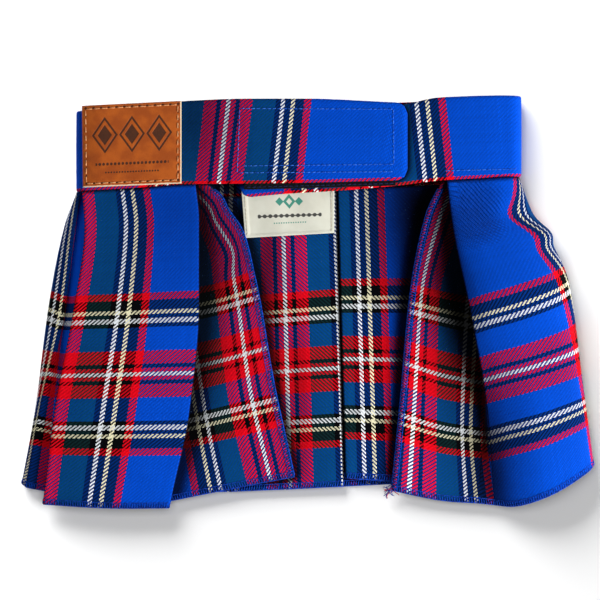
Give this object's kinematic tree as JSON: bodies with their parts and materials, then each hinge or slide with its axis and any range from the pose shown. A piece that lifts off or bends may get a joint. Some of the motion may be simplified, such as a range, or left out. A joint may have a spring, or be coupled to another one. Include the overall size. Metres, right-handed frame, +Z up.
{
  "type": "tartan pet skirt",
  "caption": "Small pleated wrap skirt in tartan cloth for a pet, with a hook-and-loop waist tab and a leather patch, lying closed on its back.",
  "frame": {"origin": "on the table under the middle of the whole skirt as it lies", "axes": "+X to the right across the front, +Y from the hem towards the waistband, +Z up from the table through the front"},
  "size_m": [0.3144, 0.226, 0.024],
  "materials": {
    "tartan": "soft brushed twill, matt",
    "tartan_band": "soft brushed twill, matt, stiffened",
    "tape": "black hook-and-loop tape, matt",
    "leather": "smooth tan leather, satin",
    "label": "woven cream ribbon, soft sheen"
  },
  "bodies": {
    "root": {"skirt_left_front": "tartan", "skirt_back": "tartan", "skirt_right_front": "tartan", "waistband": "tartan_band", "hook_tape": "tape", "loop_tape": "tape", "leather_patch": "leather", "label": "label"}
  },
  "joints": []
}
